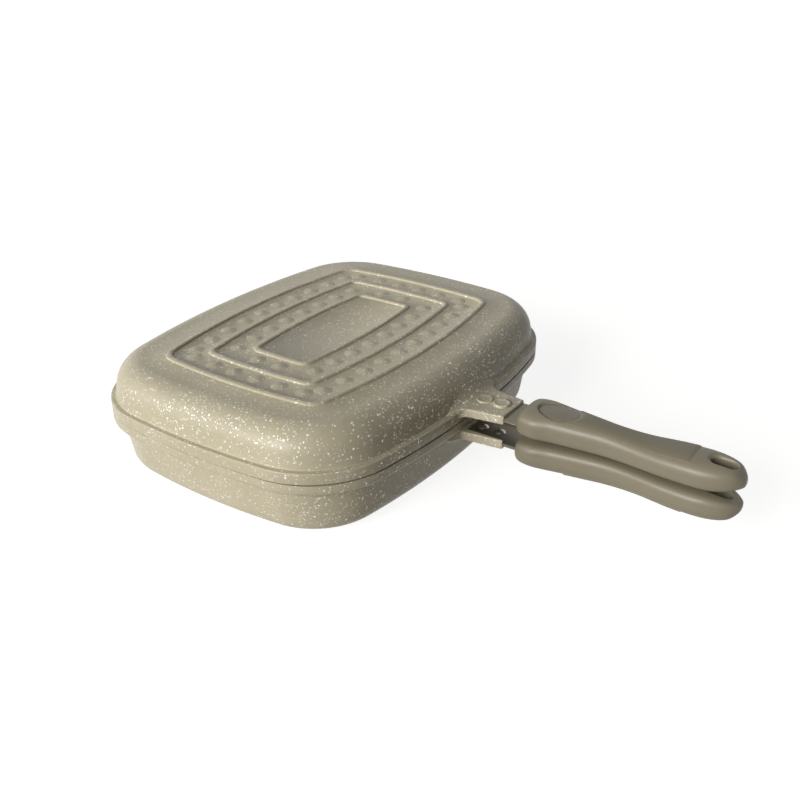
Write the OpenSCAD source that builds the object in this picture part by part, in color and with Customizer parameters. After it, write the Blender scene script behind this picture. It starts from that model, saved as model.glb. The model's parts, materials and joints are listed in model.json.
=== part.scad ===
// Double sided flip pan: two deep cast pans that close on each other along a hinge,
// each with its own handle. +X points to the handles, +Y runs along the hinge pin,
// +Z is up. The origin is under the middle of the pan, on the surface it stands on.

/* [Rim] */
// Rim width from hinge side to handle side
rim_x = 252; // [230:1:280]
// Rim length along the hinge
rim_y = 321.6; // [290:0.2:350]
// How far the hinge and handle sides bulge out at their middle
bulge_x = 21; // [12:0.5:26]
// How far the two other sides bulge out at their middle
bulge_y = 15; // [8:0.5:20]
// Corner radius of the rim
rim_corner = 65; // [58:1:72]
// Height of the rim band of each pan
rim_band_h = 8.6; // [7:0.1:11]
// Width of the flat face where the two rims meet
rim_land = 9; // [8.8:0.1:12]
// Gap between the two rim faces
rim_gap = 1.4; // [1:0.1:2.4]
// Rounding of the outer rim edges
rim_edge = 0.8; // [0.4:0.1:1.5]

/* [Pans] */
// Depth of the lower pan, from the split to its outer base
lower_depth = 46.4; // [36:0.2:56]
// Depth of the upper pan, from the split to its outer base
upper_depth = 34.8; // [32:0.2:50]
// Inset of the lower pan's wall behind the rim edge
lower_inset = 6.8; // [3:0.1:7]
// Inset of the upper pan's wall behind the rim edge
upper_inset = 3.8; // [3:0.1:7]
// Lean of the walls, in degrees
wall_draft = 8.5; // [5:0.5:12]
// Outer radius between the lower pan's wall and base
lower_round = 14; // [12:0.5:20]
// Outer radius between the upper pan's wall and base
upper_round = 20; // [12:0.5:21]
// Thickness of the cast walls
wall_t = 3; // [2.4:0.1:4]
// Thickness of the cast base
base_t = 4; // [3:0.1:5]

/* [Base pattern] */
// Half widths of the three base ribs across the pan
rib_half_x = [81.9, 55.6, 29.5];
// Half lengths of the three base ribs along the pan
rib_half_y = [118, 93.1, 68.6];
// Corner radii of the three base ribs
rib_corner = [15, 9, 7];
// Width of each base rib
rib_w = 5.5; // [3.5:0.1:6.5]
// Height of each base rib
rib_h = 1.6; // [1:0.1:2.4]
// Bulge of the outer rib's long sides
rib_bulge_x = 12.4; // [8:0.1:14]
// Bulge of the outer rib's short sides
rib_bulge_y = 6.8; // [4:0.1:9]
// Diameter of the round bumps between the ribs
bump_d = 10; // [7:0.2:12]
// Height of the round bumps
bump_h = 1.1; // [0.6:0.1:1.5]
// Spacing of the bumps
bump_pitch = 20; // [18:0.5:26]

/* [Handle bracket] */
// Reach of the bracket beyond the rim
bracket_len = 30; // [28:0.5:34]
// Half width of the bracket at its end
bracket_tip = 15.4; // [14:0.1:16]
// Half width of the bracket near the rim
bracket_root = 18.6; // [17.5:0.1:22]
// Radius of the hollow flares from the bracket to the rim
flare_r = 9; // [6:0.5:10]
// Height of the bracket's inner face from the line between the grips
bracket_low = 6.2; // [5.8:0.1:6.6]
// Thickness of the bracket
bracket_t = 6.9; // [6.5:0.1:8]
// Radius of the blend from the bracket up the pan's wall
blend_r = 12; // [8:0.5:14]
// Diameter of the screw bosses on the bracket
boss_d = 13; // [10:0.5:14]
// Height of the screw bosses
boss_h = 1.4; // [0.8:0.1:2]
// Distance of the first screw from the rim
screw_out = 6.4; // [5:0.1:8]
// Spacing of the two bracket screws
screw_pitch = 13.8; // [13:0.1:15]

/* [Tang] */
// Width of the steel tang between bracket and grip
tang_w = 28; // [24:0.2:28]
// Thickness of the steel tang
tang_t = 2.2; // [1.8:0.1:2.6]
// Height of the tang's inner face from the line between the grips
tang_low = 8.8; // [8:0.1:9.4]
// How far the full width of the tang goes into the grip
tang_seat = 8; // [6:0.5:12]
// Length of the tang inside the grip
tang_in = 58; // [54:0.5:66]
// Width of the tang's tongue inside the grip
tongue_w = 14; // [11:0.5:15]
// Diameter of the bracket screws
screw_d = 4; // [3:0.1:4.5]
// Diameter of the domed screw heads
head_d = 8.4; // [7:0.1:9]
// Height of the domed screw heads
head_h = 1.8; // [1.4:0.1:2.2]

/* [Grip] */
// Distance of the grip's front from the rim
grip_out = 40; // [37:0.5:44]
// Length of the grip
grip_len = 152.5; // [140:0.5:170]
// Full width of the grip at its widest
grip_w = 37.6; // [35:0.2:42]
// Height of one grip at its highest, from the line between the grips
grip_h = 22; // [21:0.1:25]
// How far the line between the grips lies below the split of the pans
handle_drop = 2.2; // [0:0.1:2.6]
// Gap between the two grips
grip_gap = 2.4; // [1.8:0.1:3]
// Length of the hanging hole
hole_len = 19; // [16:0.5:21]
// Width of the hanging hole
hole_w = 11; // [9:0.5:12]
// Distance from the hanging hole to the tip
hole_back = 6; // [5:0.5:8]
// Thickness of the soft inlay
inlay_t = 1.6; // [1.2:0.1:2.2]
// Length of the soft inlay
inlay_len = 78; // [60:1:80]
// Length of the blank oval plaque
badge_len = 30; // [22:0.5:32]
// Width of the blank oval plaque
badge_w = 23; // [16:0.5:25]
// Thickness of the blank oval plaque
badge_t = 3; // [2.6:0.1:4]

/* [Grip fixings] */
// Diameter of the grip screw
grip_screw_d = 4; // [3:0.1:4.5]
// Diameter of the grip screw's flat head
grip_head_d = 8; // [7:0.1:9]
// Outer diameter of the brass insert
insert_d = 6.6; // [6:0.1:7.5]
// Length of the brass insert
insert_len = 6; // [4.5:0.5:6.5]
// Diameter of the handle magnets
magnet_d = 10; // [8:0.5:11]
// Thickness of the handle magnets
magnet_t = 4; // [3:0.5:5]
// Thickness of the magnet covers
cover_t = 0.8; // [0.6:0.1:1.2]

/* [Hinge] */
// Distance from the rim to the pin's centre
hinge_out = 10; // [9:0.5:12]
// Diameter of the hinge pin
pin_d = 5; // [4:0.1:6]
// Outer diameter of the knuckles
knuckle_d = 11; // [10:0.5:12]
// Length of the middle knuckle
knuckle_mid = 38; // [30:1:50]
// Length of each end knuckle
knuckle_end = 16; // [12:1:20]
// Thickness of the washers between the knuckles
washer_t = 0.8; // [0.6:0.1:1.2]

/* [Fits] */
// Radial running clearance of the hinge pin
pin_clear = 0.05; // [0.02:0.01:0.1]
// Clearance between neighbouring pieces that don't move
seat_clear = 0.05; // [0.02:0.01:0.1]
// Side clearance at each washer
side_clear = 0.1; // [0.05:0.05:0.2]

/* [Hidden] */
$fn = 64;

coat = [0.56, 0.53, 0.46];
handle_colour = [0.44, 0.42, 0.36];
soft_colour = [0.33, 0.31, 0.27];
steel = [0.75, 0.75, 0.74];
brass = [0.75, 0.6, 0.3];
rubber_colour = [0.12, 0.12, 0.12];

corner_steps = 12;    // straight pieces in each rounded corner of a swept outline
side_steps = 8;       // straight pieces in each bulged side
split_z = lower_depth + rib_h;

// What differs between the two pans: [depth, wall inset, outer radius at the base]
lower_form = [lower_depth, lower_inset, lower_round];
upper_form = [upper_depth, upper_inset, upper_round];
hinge_x = -rim_x / 2 - hinge_out;
hinge_half = knuckle_mid / 2 + 2 * side_clear + washer_t + knuckle_end;
bracket_end = rim_x / 2 + bracket_len;
bracket_top = bracket_low + bracket_t;
grip_front = rim_x / 2 + grip_out;
tang_end = grip_front + tang_in;
tang_start = rim_x / 2 + 0.5;
screw_first = rim_x / 2 + screw_out;
grip_low = grip_gap / 2;
hole_x = grip_front + grip_len - hole_back - hole_len / 2;
fixing_x = tang_end - 10;
magnet_x = tang_end + magnet_d / 2 + 16;
badge_x = grip_front + 9.5 + badge_len / 2;
inlay_x0 = badge_x + badge_len / 2 + 2;
screw_reach = bracket_top + boss_h - 1 - tang_low;
boss_x = [screw_first, screw_first + screw_pitch];
badge_proud = 0.2;    // how far the plaque stands above the grip's highest point

// ---------------------------------------------------------------- bulged outlines
// An outline is four long arcs, one per side, joined by four corner arcs. It is kept as
// [side radius x, side radius y, side centre x, side centre y, corner x, corner y, corner r].
function arc_radius(half, bulge) = (half * half + bulge * bulge) / (2 * bulge);

function outline(hx, hy, bx, by, r) =
    let (rx = arc_radius(hy, bx), ry = arc_radius(hx, by),
         cx = hx - rx, cy = hy - ry,
         dist = sqrt(cx * cx + cy * cy),
         along = ((rx - r) * (rx - r) - (ry - r) * (ry - r) + dist * dist) / (2 * dist),
         off = sqrt((rx - r) * (rx - r) - along * along))
    [rx, ry, cx, cy, cx - (along * cx + off * cy) / dist, (along * cy - off * cx) / dist, r];

rim_outline = outline(rim_x / 2, rim_y / 2, bulge_x, bulge_y, rim_corner);

// Outline of base rib i, whose bulge shrinks with the square of its size
function rib_outline(i) =
    outline(rib_half_x[i], rib_half_y[i],
        rib_bulge_x * pow(rib_half_y[i] / rib_half_y[0], 2),
        rib_bulge_y * pow(rib_half_x[i] / rib_half_x[0], 2), rib_corner[i]);

function arc(cx, cy, r, from, to, steps) =
    [for (i = [0:steps - 1]) let (a = from + (to - from) * i / steps)
        [cx + r * cos(a), cy + r * sin(a)]];

// Points of an outline, moved inwards by d, anticlockwise from the middle of +X
function outline_points(o, d) =
    let (kx = o[4], ky = o[5], r = o[6] - d, a = atan2(ky, kx - o[2]), b = atan2(ky - o[3], kx),
         quarter = concat(
            arc(o[2], 0, o[0] - d, 0, a, side_steps / 2),
            arc(kx, ky, r, a, b, corner_steps),
            arc(0, o[3], o[1] - d, b, 90, side_steps / 2)),
         n = len(quarter))
    concat(quarter,
        [[0, o[3] + o[1] - d]], [for (i = [n - 1:-1:1]) [-quarter[i].x, quarter[i].y]],
        [for (p = quarter) [-p.x, -p.y]],
        [[0, -(o[3] + o[1] - d)]], [for (i = [n - 1:-1:1]) [quarter[i].x, -quarter[i].y]]);

// A closed solid swept through rings of equally many points, first ring to last
module skin(rings, ring_loop = false) {
    n = len(rings[0]);
    m = len(rings);
    points = [for (r = rings) each r];
    walls = [for (k = [0:m - (ring_loop ? 1 : 2)], i = [0:n - 1])
        let (a = k * n, b = ((k + 1) % m) * n, j = (i + 1) % n)
            each [[a + i, b + i, b + j], [a + i, b + j, a + j]]];
    caps = ring_loop ? [] : [[for (i = [0:n - 1]) i], [for (i = [n - 1:-1:0]) (m - 1) * n + i]];
    polyhedron(points = points, faces = concat(walls, caps), convexity = 6);
}

function ring_at(o, d, z) = [for (p = outline_points(o, d)) [p.x, p.y, z]];

// ---------------------------------------------------------------- pan casting
fillet_steps = 6;
groove_out = 2.8;      // inset of the gasket groove behind the rim edge
groove_w = 3.8;
groove_d = 2.6;

// Height at which a wall of the given form turns into the base, seen from its rim
function wall_foot(depth, r) = depth - r * (1 - sin(wall_draft));

// Inset of the outer wall at height z
function wall_at(form, z) = form[1] + (z - rim_band_h) * tan(wall_draft);

// Rounded step from wall to base: [inset, height] pairs
function fillet(inset, foot, r) =
    [for (i = [0:fillet_steps]) let (a = wall_draft + (90 - wall_draft) * i / fillet_steps)
        [inset + r * (cos(wall_draft) - cos(a)), foot + r * (sin(a) - sin(wall_draft))]];

// One pan as cast, with its rim face down at the split and its outer base up at depth
module shell(form, grooved) {
    low = rim_gap / 2;
    depth = form[0];
    inset = form[1];
    foot = wall_foot(depth, form[2]);
    r_in = form[2] - wall_t;
    foot_in = wall_foot(depth - base_t, r_in);
    inset_in = rim_land + (foot_in - low) * tan(wall_draft);
    cavity = [for (q = fillet(inset_in, foot_in, r_in)) ring_at(rim_outline, q[0], q[1])];
    outer = concat(
        [[rim_edge, low], [0, low + rim_edge], [0, rim_band_h - 2 * rim_edge],
         [rim_edge * 0.6, rim_band_h - rim_edge * 0.6], [2 * rim_edge, rim_band_h],
         [inset - 0.6, rim_band_h + 0.1], [inset + 0.2, rim_band_h + 1]],
        fillet(wall_at(form, foot), foot, form[2]));
    ribs = [for (i = [0:2]) let (o = rib_outline(i))
        each [ring_at(o, 0, depth), ring_at(o, 1, depth + rib_h),
              ring_at(o, rib_w - 1, depth + rib_h), ring_at(o, rib_w, depth)]];
    groove = grooved ? [[groove_out + groove_w, low], [groove_out + groove_w, low + groove_d],
        [groove_out, low + groove_d], [groove_out, low]] : [];
    skin(concat(
        [for (i = [len(cavity) - 1:-1:0]) cavity[i]],
        [ring_at(rim_outline, rim_land, low)],
        [for (q = groove) ring_at(rim_outline, q[0], q[1])],
        [for (q = outer) ring_at(rim_outline, q[0], q[1])],
        ribs));
}

// One round bump, let half a millimetre into the base
module bump() {
    cap_r = (bump_d * bump_d / 4 + bump_h * bump_h) / (2 * bump_h);
    sunk = 0.5;
    rotate_extrude() intersection() {
        translate([0, bump_h - cap_r]) circle(cap_r);
        translate([0, -sunk]) square([bump_d, bump_h + 2 * sunk]);
    }
}

// Round bumps in the two bands between the ribs
module bumps(depth) {
    for (band = [0, 1]) {
        o = rib_outline(band);
        mid = (rib_half_x[band] - rib_half_x[band + 1] + rib_w) / 2;
        per_side = floor((rib_half_y[band] - mid) / bump_pitch + 0.25);
        for (side = [-1, 1], k = [-per_side:per_side - 1]) {
            y = (k + 0.5) * bump_pitch;
            x = o[2] + sqrt(pow(o[0] - mid, 2) - y * y);
            translate([side * x, y, depth]) bump();
        }
        per_end = floor((rib_half_x[band] - mid * 2) / bump_pitch + 0.5);
        for (side = [-1, 1], k = [-per_end:per_end - 1]) {
            x = (k + 0.5) * bump_pitch;
            y = o[3] + sqrt(pow(o[1] - mid, 2) - x * x);
            translate([x, side * y, depth]) bump();
        }
    }
}

// Bracket that reaches out from the rim and holds the tang
module bracket_plan(root_x) {
    neck_x = rim_x / 2 + flare_r;
    difference() {
        polygon([[root_x, -bracket_root - flare_r], [rim_x / 2, -bracket_root - flare_r],
            [neck_x, -bracket_root], [bracket_end, -bracket_tip],
            [bracket_end, bracket_tip], [neck_x, bracket_root],
            [rim_x / 2, bracket_root + flare_r], [root_x, bracket_root + flare_r]]);
        for (side = [-1, 1]) translate([neck_x, side * (bracket_root + flare_r)]) circle(flare_r);
    }
}

// Hollow blend from the bracket's top up the wall. Its arc starts a little below the top,
// so that the two faces cross.
module bracket_blend(form, drop) {
    root_x = rim_x / 2 - form[1] - wall_t;
    wall_x = rim_x / 2 - wall_at(form, bracket_top + drop + blend_r);
    half = bracket_root;
    dip = 0.3;         // how far the arc starts below the bracket's top
    translate([0, half, bracket_top - dip]) rotate([90, 0, 0]) linear_extrude(2 * half)
        difference() {
            translate([root_x, -1]) square([wall_x + blend_r - root_x, blend_r + 1]);
            translate([wall_x + blend_r, blend_r]) circle(blend_r, $fn = 96);
        }
}

// drop is the height of the line between the grips, in the frame of the pan
module bracket(form, drop) {
    over_groove = rim_gap / 2 + groove_d + 1 - drop;
    translate([0, 0, drop]) difference() {
        union() {
            // the root stays outside the gasket groove, and goes into the wall above it
            translate([0, 0, bracket_low]) linear_extrude(bracket_t)
                bracket_plan(rim_x / 2 - groove_out + 0.8);
            translate([0, 0, over_groove]) linear_extrude(bracket_top - over_groove)
                bracket_plan(rim_x / 2 - form[1] - wall_t);
            bracket_blend(form, drop);
            for (x = boss_x) translate([x, 0, bracket_top]) cylinder(d = boss_d, h = boss_h);
        }
        // seat of the tang
        translate([tang_start - seat_clear, -tang_w / 2 - seat_clear, bracket_low - 1])
            cube([bracket_end, tang_w + 2 * seat_clear, tang_low + tang_t - bracket_low + 1]);
        // blind screw holes
        for (x = boss_x) translate([x, 0, tang_low])
            cylinder(d = screw_d + 2 * seat_clear, h = screw_reach + 0.3);
    }
}

// Knuckle arms from the rim to the hinge line, over the stretches given as [from, to]
module knuckles(stretches, clear) {
    arm_h = knuckle_d / 2 - rim_gap / 2;
    difference() {
        for (s = stretches) translate([hinge_x, s[0], 0]) {
            rotate([-90, 0, 0]) cylinder(d = knuckle_d, h = s[1] - s[0]);
            translate([0, 0, rim_gap / 2]) cube([hinge_out + groove_out - 0.8, s[1] - s[0], arm_h]);
        }
        translate([hinge_x, -hinge_half - 1, 0]) rotate([-90, 0, 0])
            cylinder(r = pin_d / 2 + clear, h = 2 * hinge_half + 2);
    }
}

module pan(form, grooved, stretches, clear, drop) {
    shell(form, grooved);
    bumps(form[0]);
    bracket(form, drop);
    knuckles(stretches, clear);
}

// Places a pan piece of the upper half, or its mirror image in the lower half
module upper_half() translate([0, 0, split_z]) children();
module lower_half() translate([0, 0, split_z]) mirror([0, 0, 1]) children();

// The same for the pieces of the two handles, about the line between the grips
module upper_handle() translate([0, 0, split_z - handle_drop]) children();
module lower_handle() translate([0, 0, split_z - handle_drop]) mirror([0, 0, 1]) children();

module lower_pan() color(coat) lower_half()
    pan(lower_form, false, [[-hinge_half, -hinge_half + knuckle_end],
        [hinge_half - knuckle_end, hinge_half]], seat_clear / 2, handle_drop);

module upper_pan() color(coat) upper_half()
    pan(upper_form, true, [[-knuckle_mid / 2, knuckle_mid / 2]], pin_clear, -handle_drop);

// Silicone ring in the upper rim's groove, which stands just clear of the lower rim
module rim_gasket() color(rubber_colour) upper_half() {
    low = -rim_gap / 2 + 0.3;
    high = rim_gap / 2 + groove_d - seat_clear;
    out = groove_out + seat_clear;
    in = groove_out + groove_w - seat_clear;
    skin([for (q = [[out, low], [out, high], [in, high], [in, low]])
        ring_at(rim_outline, q[0], q[1])], ring_loop = true);
}

// ---------------------------------------------------------------- hinge
head_t = 1.4;
clip_t = 0.8;
clip_depth = 0.5;

module hinge_pin() color(steel) translate([hinge_x, 0, split_z]) rotate([-90, 0, 0])
    difference() {
        union() {
            translate([0, 0, -hinge_half - head_t - side_clear])
                cylinder(d = pin_d + 3, h = head_t);
            translate([0, 0, -hinge_half - side_clear])
                cylinder(d = pin_d, h = 2 * hinge_half + 2 * side_clear + clip_t + 2);
        }
        translate([0, 0, hinge_half + side_clear]) difference() {
            cylinder(d = pin_d + 1, h = clip_t);
            translate([0, 0, -1]) cylinder(r = pin_d / 2 - clip_depth, h = clip_t + 2);
        }
    }

// Open retaining ring that snaps into the groove near the pin's end
module hinge_clip() color(steel)
    translate([hinge_x, hinge_half + side_clear + seat_clear / 2, split_z]) rotate([-90, 0, 0])
        difference() {
            cylinder(d = pin_d + 4, h = clip_t - seat_clear);
            translate([0, 0, -1]) cylinder(r = pin_d / 2 - clip_depth + seat_clear, h = clip_t + 2);
            translate([0, -1.2, -1]) cube([pin_d, 2.4, clip_t + 2]);
        }

module hinge_washers() color(steel) for (side = [-1, 1])
    translate([hinge_x, side * (knuckle_mid / 2 + side_clear + washer_t / 2) - washer_t / 2, split_z])
        rotate([-90, 0, 0]) difference() {
            cylinder(d = knuckle_d - 1, h = washer_t);
            translate([0, 0, -1]) cylinder(r = pin_d / 2 + pin_clear, h = washer_t + 2);
        }

// ---------------------------------------------------------------- tang and its screws
module tang() difference() {
    union() {
        translate([tang_start, -tang_w / 2, tang_low])
            cube([grip_front + tang_seat - tang_start, tang_w, tang_t]);
        translate([tang_start, -tongue_w / 2, tang_low])
            cube([tang_end - tang_start, tongue_w, tang_t]);
    }
    for (x = boss_x) translate([x, 0, tang_low - 1])
        cylinder(d = screw_d + 2 * seat_clear, h = tang_t + 2);
    translate([fixing_x, 0, tang_low - 1])
        cylinder(d = grip_screw_d + 2 * seat_clear, h = tang_t + 2);
}

module lower_tang() color(steel) lower_handle() tang();
module upper_tang() color(steel) upper_handle() tang();

// Domed screws that come from the inner side, up into the bracket
module tang_screws() {
    dome_r = (head_d * head_d / 4 + head_h * head_h) / (2 * head_h);
    for (x = boss_x) translate([x, 0, tang_low]) difference() {
        union() {
            cylinder(d = screw_d, h = screw_reach);
            intersection() {
                translate([0, 0, -head_h]) cylinder(d = head_d, h = head_h);
                translate([0, 0, dome_r - head_h]) sphere(dome_r);
            }
        }
        translate([0, 0, -head_h - 1]) cylinder(d = 2.4, h = 1.9, $fn = 6);
    }
}

module lower_tang_screws() color(steel) lower_handle() tang_screws();
module upper_tang_screws() color(steel) upper_handle() tang_screws();

// ---------------------------------------------------------------- grip
// Stations along the grip: [share of length, share of width, share of height]
stations = [[0, 0.82, 0.80], [0.015, 0.93, 0.905], [0.04, 0.985, 0.96], [0.09, 1, 0.99],
    [0.16, 0.87, 1], [0.22, 0.80, 0.975], [0.29, 0.73, 0.95], [0.36, 0.66, 0.925],
    [0.42, 0.63, 0.895], [0.5, 0.66, 0.86], [0.58, 0.735, 0.845], [0.65, 0.81, 0.865],
    [0.73, 0.86, 0.90], [0.82, 0.875, 0.915], [0.88, 0.81, 0.91], [0.93, 0.685, 0.87],
    [0.965, 0.52, 0.79], [0.99, 0.30, 0.62], [1, 0.13, 0.50]];
squareness = 2.7;     // of the upper half of a section: 2 is an ellipse, higher is squarer
edge_squareness = 4;  // of its lower half
edge_angles = [15, 35, 52, 66];
section_steps = 2;    // sections between two stations

// Smooth value between stations b and c, with their neighbours a and d
function smooth(a, b, c, d, t) =
    b + t * (c - a) / 2 + t * t * (a - 2.5 * b + 2 * c - d / 2) + t * t * t * (1.5 * (b - c) + (d - a) / 2);

// [x, half width, height] at step k of the sections
last = len(stations) - 1;
function station(i) = stations[max(0, min(last, i))];
function section_at(k) =
    let (i = floor(k / section_steps), t = k / section_steps - i,
         v = [for (c = [0:2]) smooth(station(i - 1)[c], station(i)[c], station(i + 1)[c],
             station(i + 2)[c], t)])
    [grip_front + v[0] * grip_len, v[1] * grip_w / 2, v[2] * grip_h];

// Point of a section at angle a, from 0 on +Y over the top to 180, moved inwards by d
function section_point(s, a, d) =
    let (half_h = (s[2] - grip_low) / 2, c = cos(a), e = 2 / squareness)
    [s[0], (s[1] - d) * sign(c) * pow(abs(c), e), grip_low + half_h + (half_h - d) * pow(sin(a), e)];

// Point of the squarer lower edge, from a = 0 on the side down to 90 at the flat face
function edge_point(s, side, a) =
    let (half_h = (s[2] - grip_low) / 2, e = 2 / edge_squareness)
    [s[0], side * s[1] * pow(cos(a), e), grip_low + half_h - half_h * pow(sin(a), e)];

// The soft inlay lies between two lines along the grip, and its seat is let into the grip by
// the same rings. At both ends the seat runs out over one section.
inlay_angle = 46;     // angle of the inlay's edge, up from the side
edge_slant = 3;       // how much further in the seat's floor begins, in degrees
shoulder_sides = 6;   // straight pieces from the side up to the inlay
floor_sides = 8;      // straight pieces across the inlay

function first_section(x, k = 0) =
    k >= last * section_steps || section_at(k)[0] >= x ? k : first_section(x, k + 1);
inlay_first = first_section(inlay_x0);
inlay_last = first_section(inlay_x0 + inlay_len) - 1;
end_depth = 0.3;      // depth of the seat at its ends

function seat_depth(k) = k < inlay_first || k > inlay_last ? 0
    : k == inlay_first || k == inlay_last ? end_depth : inlay_t;

// The inlay stays clear of its seat by floor_clear below and by edge_clear at its sides
edge_clear = 2;       // in degrees
floor_clear = 0.2;

// Points from one edge of the inlay to the other, d below the surface, drawn in by slant degrees
function across(s, d, slant) = [for (i = [0:floor_sides])
    section_point(s, inlay_angle + slant + (180 - 2 * (inlay_angle + slant)) * i / floor_sides, d)];

// One grip section: up one side, across the seat, down the other side, and the flat face
function grip_ring(k) = let (s = section_at(k), m = len(edge_angles) - 1) concat(
    [for (i = [0:shoulder_sides]) section_point(s, inlay_angle * i / shoulder_sides, 0)],
    across(s, seat_depth(k), edge_slant),
    [for (i = [shoulder_sides:-1:0]) section_point(s, 180 - inlay_angle * i / shoulder_sides, 0)],
    [for (a = edge_angles) edge_point(s, -1, a)],
    [[s[0], -0.45 * s[1], grip_low], [s[0], 0.45 * s[1], grip_low]],
    [for (i = [m:-1:0]) edge_point(s, 1, edge_angles[i])]);

module grip_body() skin([for (k = [0:last * section_steps]) grip_ring(k)]);

function reversed(list) = [for (i = [len(list) - 1:-1:0]) list[i]];

module inlay() skin([for (k = [inlay_first:inlay_last]) let (s = section_at(k))
    concat(across(s, 0, edge_clear),
        reversed(across(s, seat_depth(k) - floor_clear, edge_slant + edge_clear)))]);

function ellipse_points(a, b) = [for (i = [0:35]) [a * cos(10 * i), b * sin(10 * i)]];

// Blank oval plaque: its top is crowned like the grip's
module badge() {
    crown_r = 38;
    intersection() {
        translate([badge_x, 0, grip_h - badge_t]) linear_extrude(badge_t + 1)
            polygon(ellipse_points(badge_len / 2, badge_w / 2));
        translate([badge_x - badge_len, 0, grip_h + badge_proud - crown_r])
            rotate([0, 90, 0]) cylinder(r = crown_r, h = 2 * badge_len, $fn = 96);
    }
}

module badge_pocket() translate([badge_x, 0, grip_h - badge_t]) linear_extrude(badge_t + 2)
    polygon(ellipse_points(badge_len / 2 + seat_clear, badge_w / 2 + seat_clear));

module grip() difference() {
    grip_body();
    // slot of the tang, open at the front
    for (size = [[tang_seat, tang_w], [tang_in, tongue_w]])
        translate([grip_front - 1, -size[1] / 2 - seat_clear, tang_low - seat_clear])
            cube([size[0] + 1 + seat_clear, size[1] + 2 * seat_clear, tang_t + 2 * seat_clear]);
    // screw, insert and magnet
    translate([fixing_x, 0, grip_low - 1]) cylinder(d = grip_head_d + 0.4, h = tang_low - grip_low + 1);
    translate([fixing_x, 0, tang_low]) cylinder(d = insert_d, h = tang_t + seat_clear + insert_len);
    translate([magnet_x, 0, grip_low - 1])
        cylinder(r = magnet_d / 2 + 1 + seat_clear, h = cover_t + 1);
    translate([magnet_x, 0, grip_low]) cylinder(r = magnet_d / 2 + seat_clear, h = cover_t + magnet_t);
    // hanging hole with round ends
    for (side = [-1, 1]) translate([hole_x + side * (hole_len - hole_w) / 2, 0, 0])
        cylinder(d = hole_w, h = grip_h + 2);
    translate([hole_x - (hole_len - hole_w) / 2, -hole_w / 2, 0]) cube([hole_len - hole_w, hole_w, grip_h + 2]);
    badge_pocket();
}

module lower_grip() color(handle_colour) lower_handle() grip();
module upper_grip() color(handle_colour) upper_handle() grip();
module lower_inlay() color(soft_colour) lower_handle() inlay();
module upper_inlay() color(soft_colour) upper_handle() inlay();
module lower_badge() color(soft_colour) lower_handle() badge();
module upper_badge() color(soft_colour) upper_handle() badge();

// ---------------------------------------------------------------- grip fixings
module grip_screw() translate([fixing_x, 0, tang_low]) {
    flat_h = tang_low - grip_low - 0.4;
    difference() {
        translate([0, 0, -flat_h]) cylinder(d = grip_head_d, h = flat_h);
        translate([0, 0, -flat_h - 1]) cylinder(d = 3, h = 1.8, $fn = 6);
    }
    cylinder(d = grip_screw_d, h = tang_t + insert_len - 1);
}
module grip_insert() translate([fixing_x, 0, tang_low + tang_t + seat_clear]) difference() {
    cylinder(d = insert_d, h = insert_len);
    translate([0, 0, -1]) cylinder(d = grip_screw_d + 2 * seat_clear, h = insert_len + 2);
}
module magnet() translate([magnet_x, 0, grip_low + cover_t]) cylinder(d = magnet_d, h = magnet_t);
module magnet_cover() translate([magnet_x, 0, grip_low]) cylinder(d = magnet_d + 2, h = cover_t);

module lower_grip_screw() color(steel) lower_handle() grip_screw();
module upper_grip_screw() color(steel) upper_handle() grip_screw();
module lower_grip_insert() color(brass) lower_handle() grip_insert();
module upper_grip_insert() color(brass) upper_handle() grip_insert();
module lower_magnet() color(steel) lower_handle() magnet();
module upper_magnet() color(steel) upper_handle() magnet();
module lower_magnet_cover() color(handle_colour) lower_handle() magnet_cover();
module upper_magnet_cover() color(handle_colour) upper_handle() magnet_cover();

lower_pan();
upper_pan();
rim_gasket();
hinge_pin();
hinge_clip();
hinge_washers();
lower_tang();
upper_tang();
lower_tang_screws();
upper_tang_screws();
lower_grip();
upper_grip();
lower_inlay();
upper_inlay();
lower_badge();
upper_badge();
lower_grip_screw();
upper_grip_screw();
lower_grip_insert();
upper_grip_insert();
lower_magnet();
upper_magnet();
lower_magnet_cover();
upper_magnet_cover();
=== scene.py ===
# %% [markdown]
# # Double sided flip pan
# Two deep cast pans close on each other along a hinge, and each has its own handle. The packed
# solids are the frame: they carry the joint and the sizes. This lesson dresses them: smooth cast
# shells with a speckled coating, moulded grips, a soft panel and a blank oval plaque on each
# grip, and plain steel for the pieces that are right as they are, with the tangs' steel darkened
# as painted shade.

# %% Load the frame
import json
import math

import bpy
import numpy as np
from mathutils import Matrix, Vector
from mathutils.bvhtree import BVHTree


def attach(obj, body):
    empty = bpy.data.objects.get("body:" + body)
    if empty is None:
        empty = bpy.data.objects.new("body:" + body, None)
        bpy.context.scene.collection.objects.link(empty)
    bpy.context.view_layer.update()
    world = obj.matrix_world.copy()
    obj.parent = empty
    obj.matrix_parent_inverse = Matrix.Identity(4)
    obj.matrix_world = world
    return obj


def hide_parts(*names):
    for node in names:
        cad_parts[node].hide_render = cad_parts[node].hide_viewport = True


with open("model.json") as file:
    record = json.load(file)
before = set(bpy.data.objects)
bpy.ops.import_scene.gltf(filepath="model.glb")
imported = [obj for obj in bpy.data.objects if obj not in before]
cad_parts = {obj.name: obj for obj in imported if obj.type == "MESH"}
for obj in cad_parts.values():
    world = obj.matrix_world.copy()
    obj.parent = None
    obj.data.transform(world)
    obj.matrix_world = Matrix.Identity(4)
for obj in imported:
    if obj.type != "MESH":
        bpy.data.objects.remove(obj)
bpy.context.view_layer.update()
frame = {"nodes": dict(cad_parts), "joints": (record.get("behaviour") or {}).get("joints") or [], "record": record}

# %% [markdown]
# ## Sizes
# All sizes are in millimetres, as on a drawing, and become metres only when a mesh is made. The
# hinge line comes from the frame's joint, so the split between the pans follows the solids.

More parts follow.
